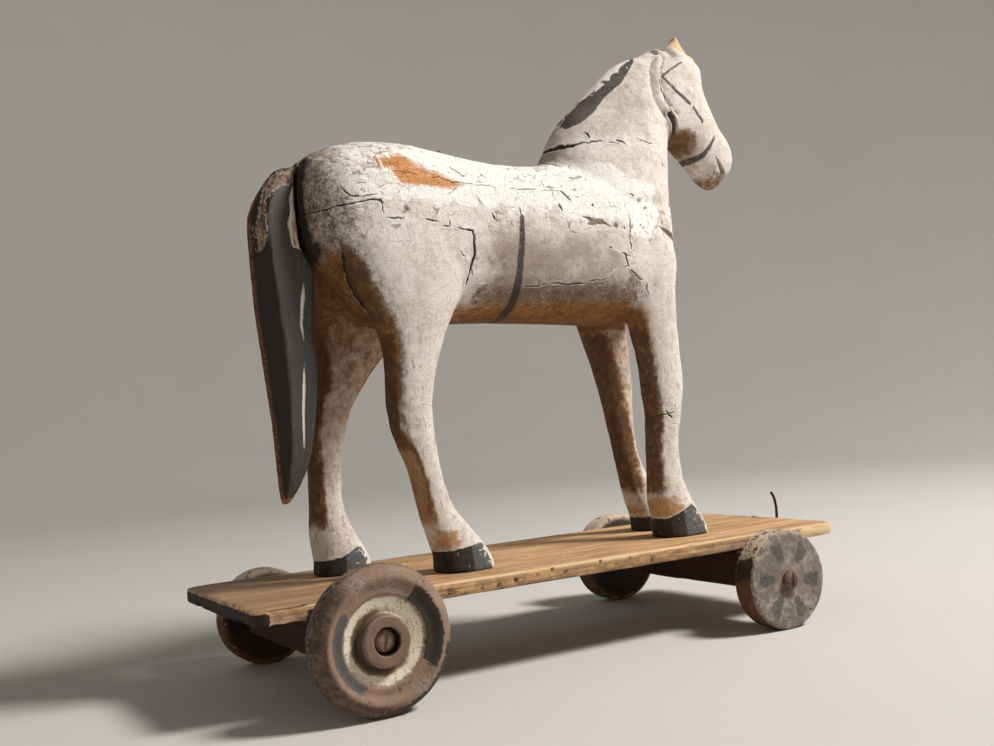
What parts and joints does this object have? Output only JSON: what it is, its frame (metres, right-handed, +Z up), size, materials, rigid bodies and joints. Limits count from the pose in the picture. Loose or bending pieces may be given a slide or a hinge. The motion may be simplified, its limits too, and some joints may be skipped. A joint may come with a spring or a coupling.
{
  "type": "wooden horse on wheels",
  "caption": "Old carved wooden horse with worn white gesso and a black tail, striding on a wooden board that rolls on unlike wooden wheels turning on slotted screws.",
  "frame": {"origin": "on the ground, under the middle of the toy's box", "axes": "+X is the way the horse faces, +Y is its left side, +Z is up; the wheels stand on z = 0"},
  "size_m": [0.4314, 0.2047, 0.4146],
  "materials": {
    "gesso": "cracked and flaking white gesso over carved wood, rubbed brown on the underside",
    "tail_paint": "dull black paint, chipped to pale gesso along its edges",
    "board_wood": "bare, worn and wormed board with a few traces of old paint",
    "beam_wood": "dark stained rough wood",
    "turned_wheel": "worn dull brown paint with black and cream bands",
    "plain_wheel": "flaking grey paint with dark smudged petals",
    "rusty_iron": "rusted, with a worn slot",
    "dark_wire": "blackened wire",
    "pale_tack": "dulled and pale"
  },
  "bodies": {
    "horse_and_board": {"body": "gesso", "head_and_neck": "gesso", "hind_leg_right": "gesso", "hind_leg_left": "gesso", "foreleg_right": "gesso", "foreleg_left": "gesso", "tail": "tail_paint", "board": "board_wood", "rear_axle_beam": "beam_wood", "front_axle_beam": "beam_wood", "wheel_screw_rear_right": "rusty_iron", "wheel_screw_rear_left": "rusty_iron", "wheel_screw_front_right": "rusty_iron", "wheel_screw_front_left": "rusty_iron", "pull_hook": "dark_wire", "front_tack": "pale_tack"},
    "rear_right_wheel": {"wheel_rear_right": "turned_wheel"},
    "rear_left_wheel": {"wheel_rear_left": "plain_wheel"},
    "front_right_wheel": {"wheel_front_right": "plain_wheel"},
    "front_left_wheel": {"wheel_front_left": "plain_wheel"}
  },
  "joints": [
    {"name": "rear_right_wheel_spin", "type": "hinge", "parent": "horse_and_board", "child": "rear_right_wheel", "pos_m": [-0.15795, -0.1024, 0.03969], "axis": [0, 1, 0], "continuous": true},
    {"name": "rear_left_wheel_spin", "type": "hinge", "parent": "horse_and_board", "child": "rear_left_wheel", "pos_m": [-0.15795, 0.0987, 0.03081], "axis": [0, 1, 0], "continuous": true},
    {"name": "front_right_wheel_spin", "type": "hinge", "parent": "horse_and_board", "child": "front_right_wheel", "pos_m": [0.12705, -0.098, 0.03166], "axis": [0, 1, 0], "continuous": true},
    {"name": "front_left_wheel_spin", "type": "hinge", "parent": "horse_and_board", "child": "front_left_wheel", "pos_m": [0.12705, 0.0987, 0.03291], "axis": [0, 1, 0], "continuous": true}
  ]
}
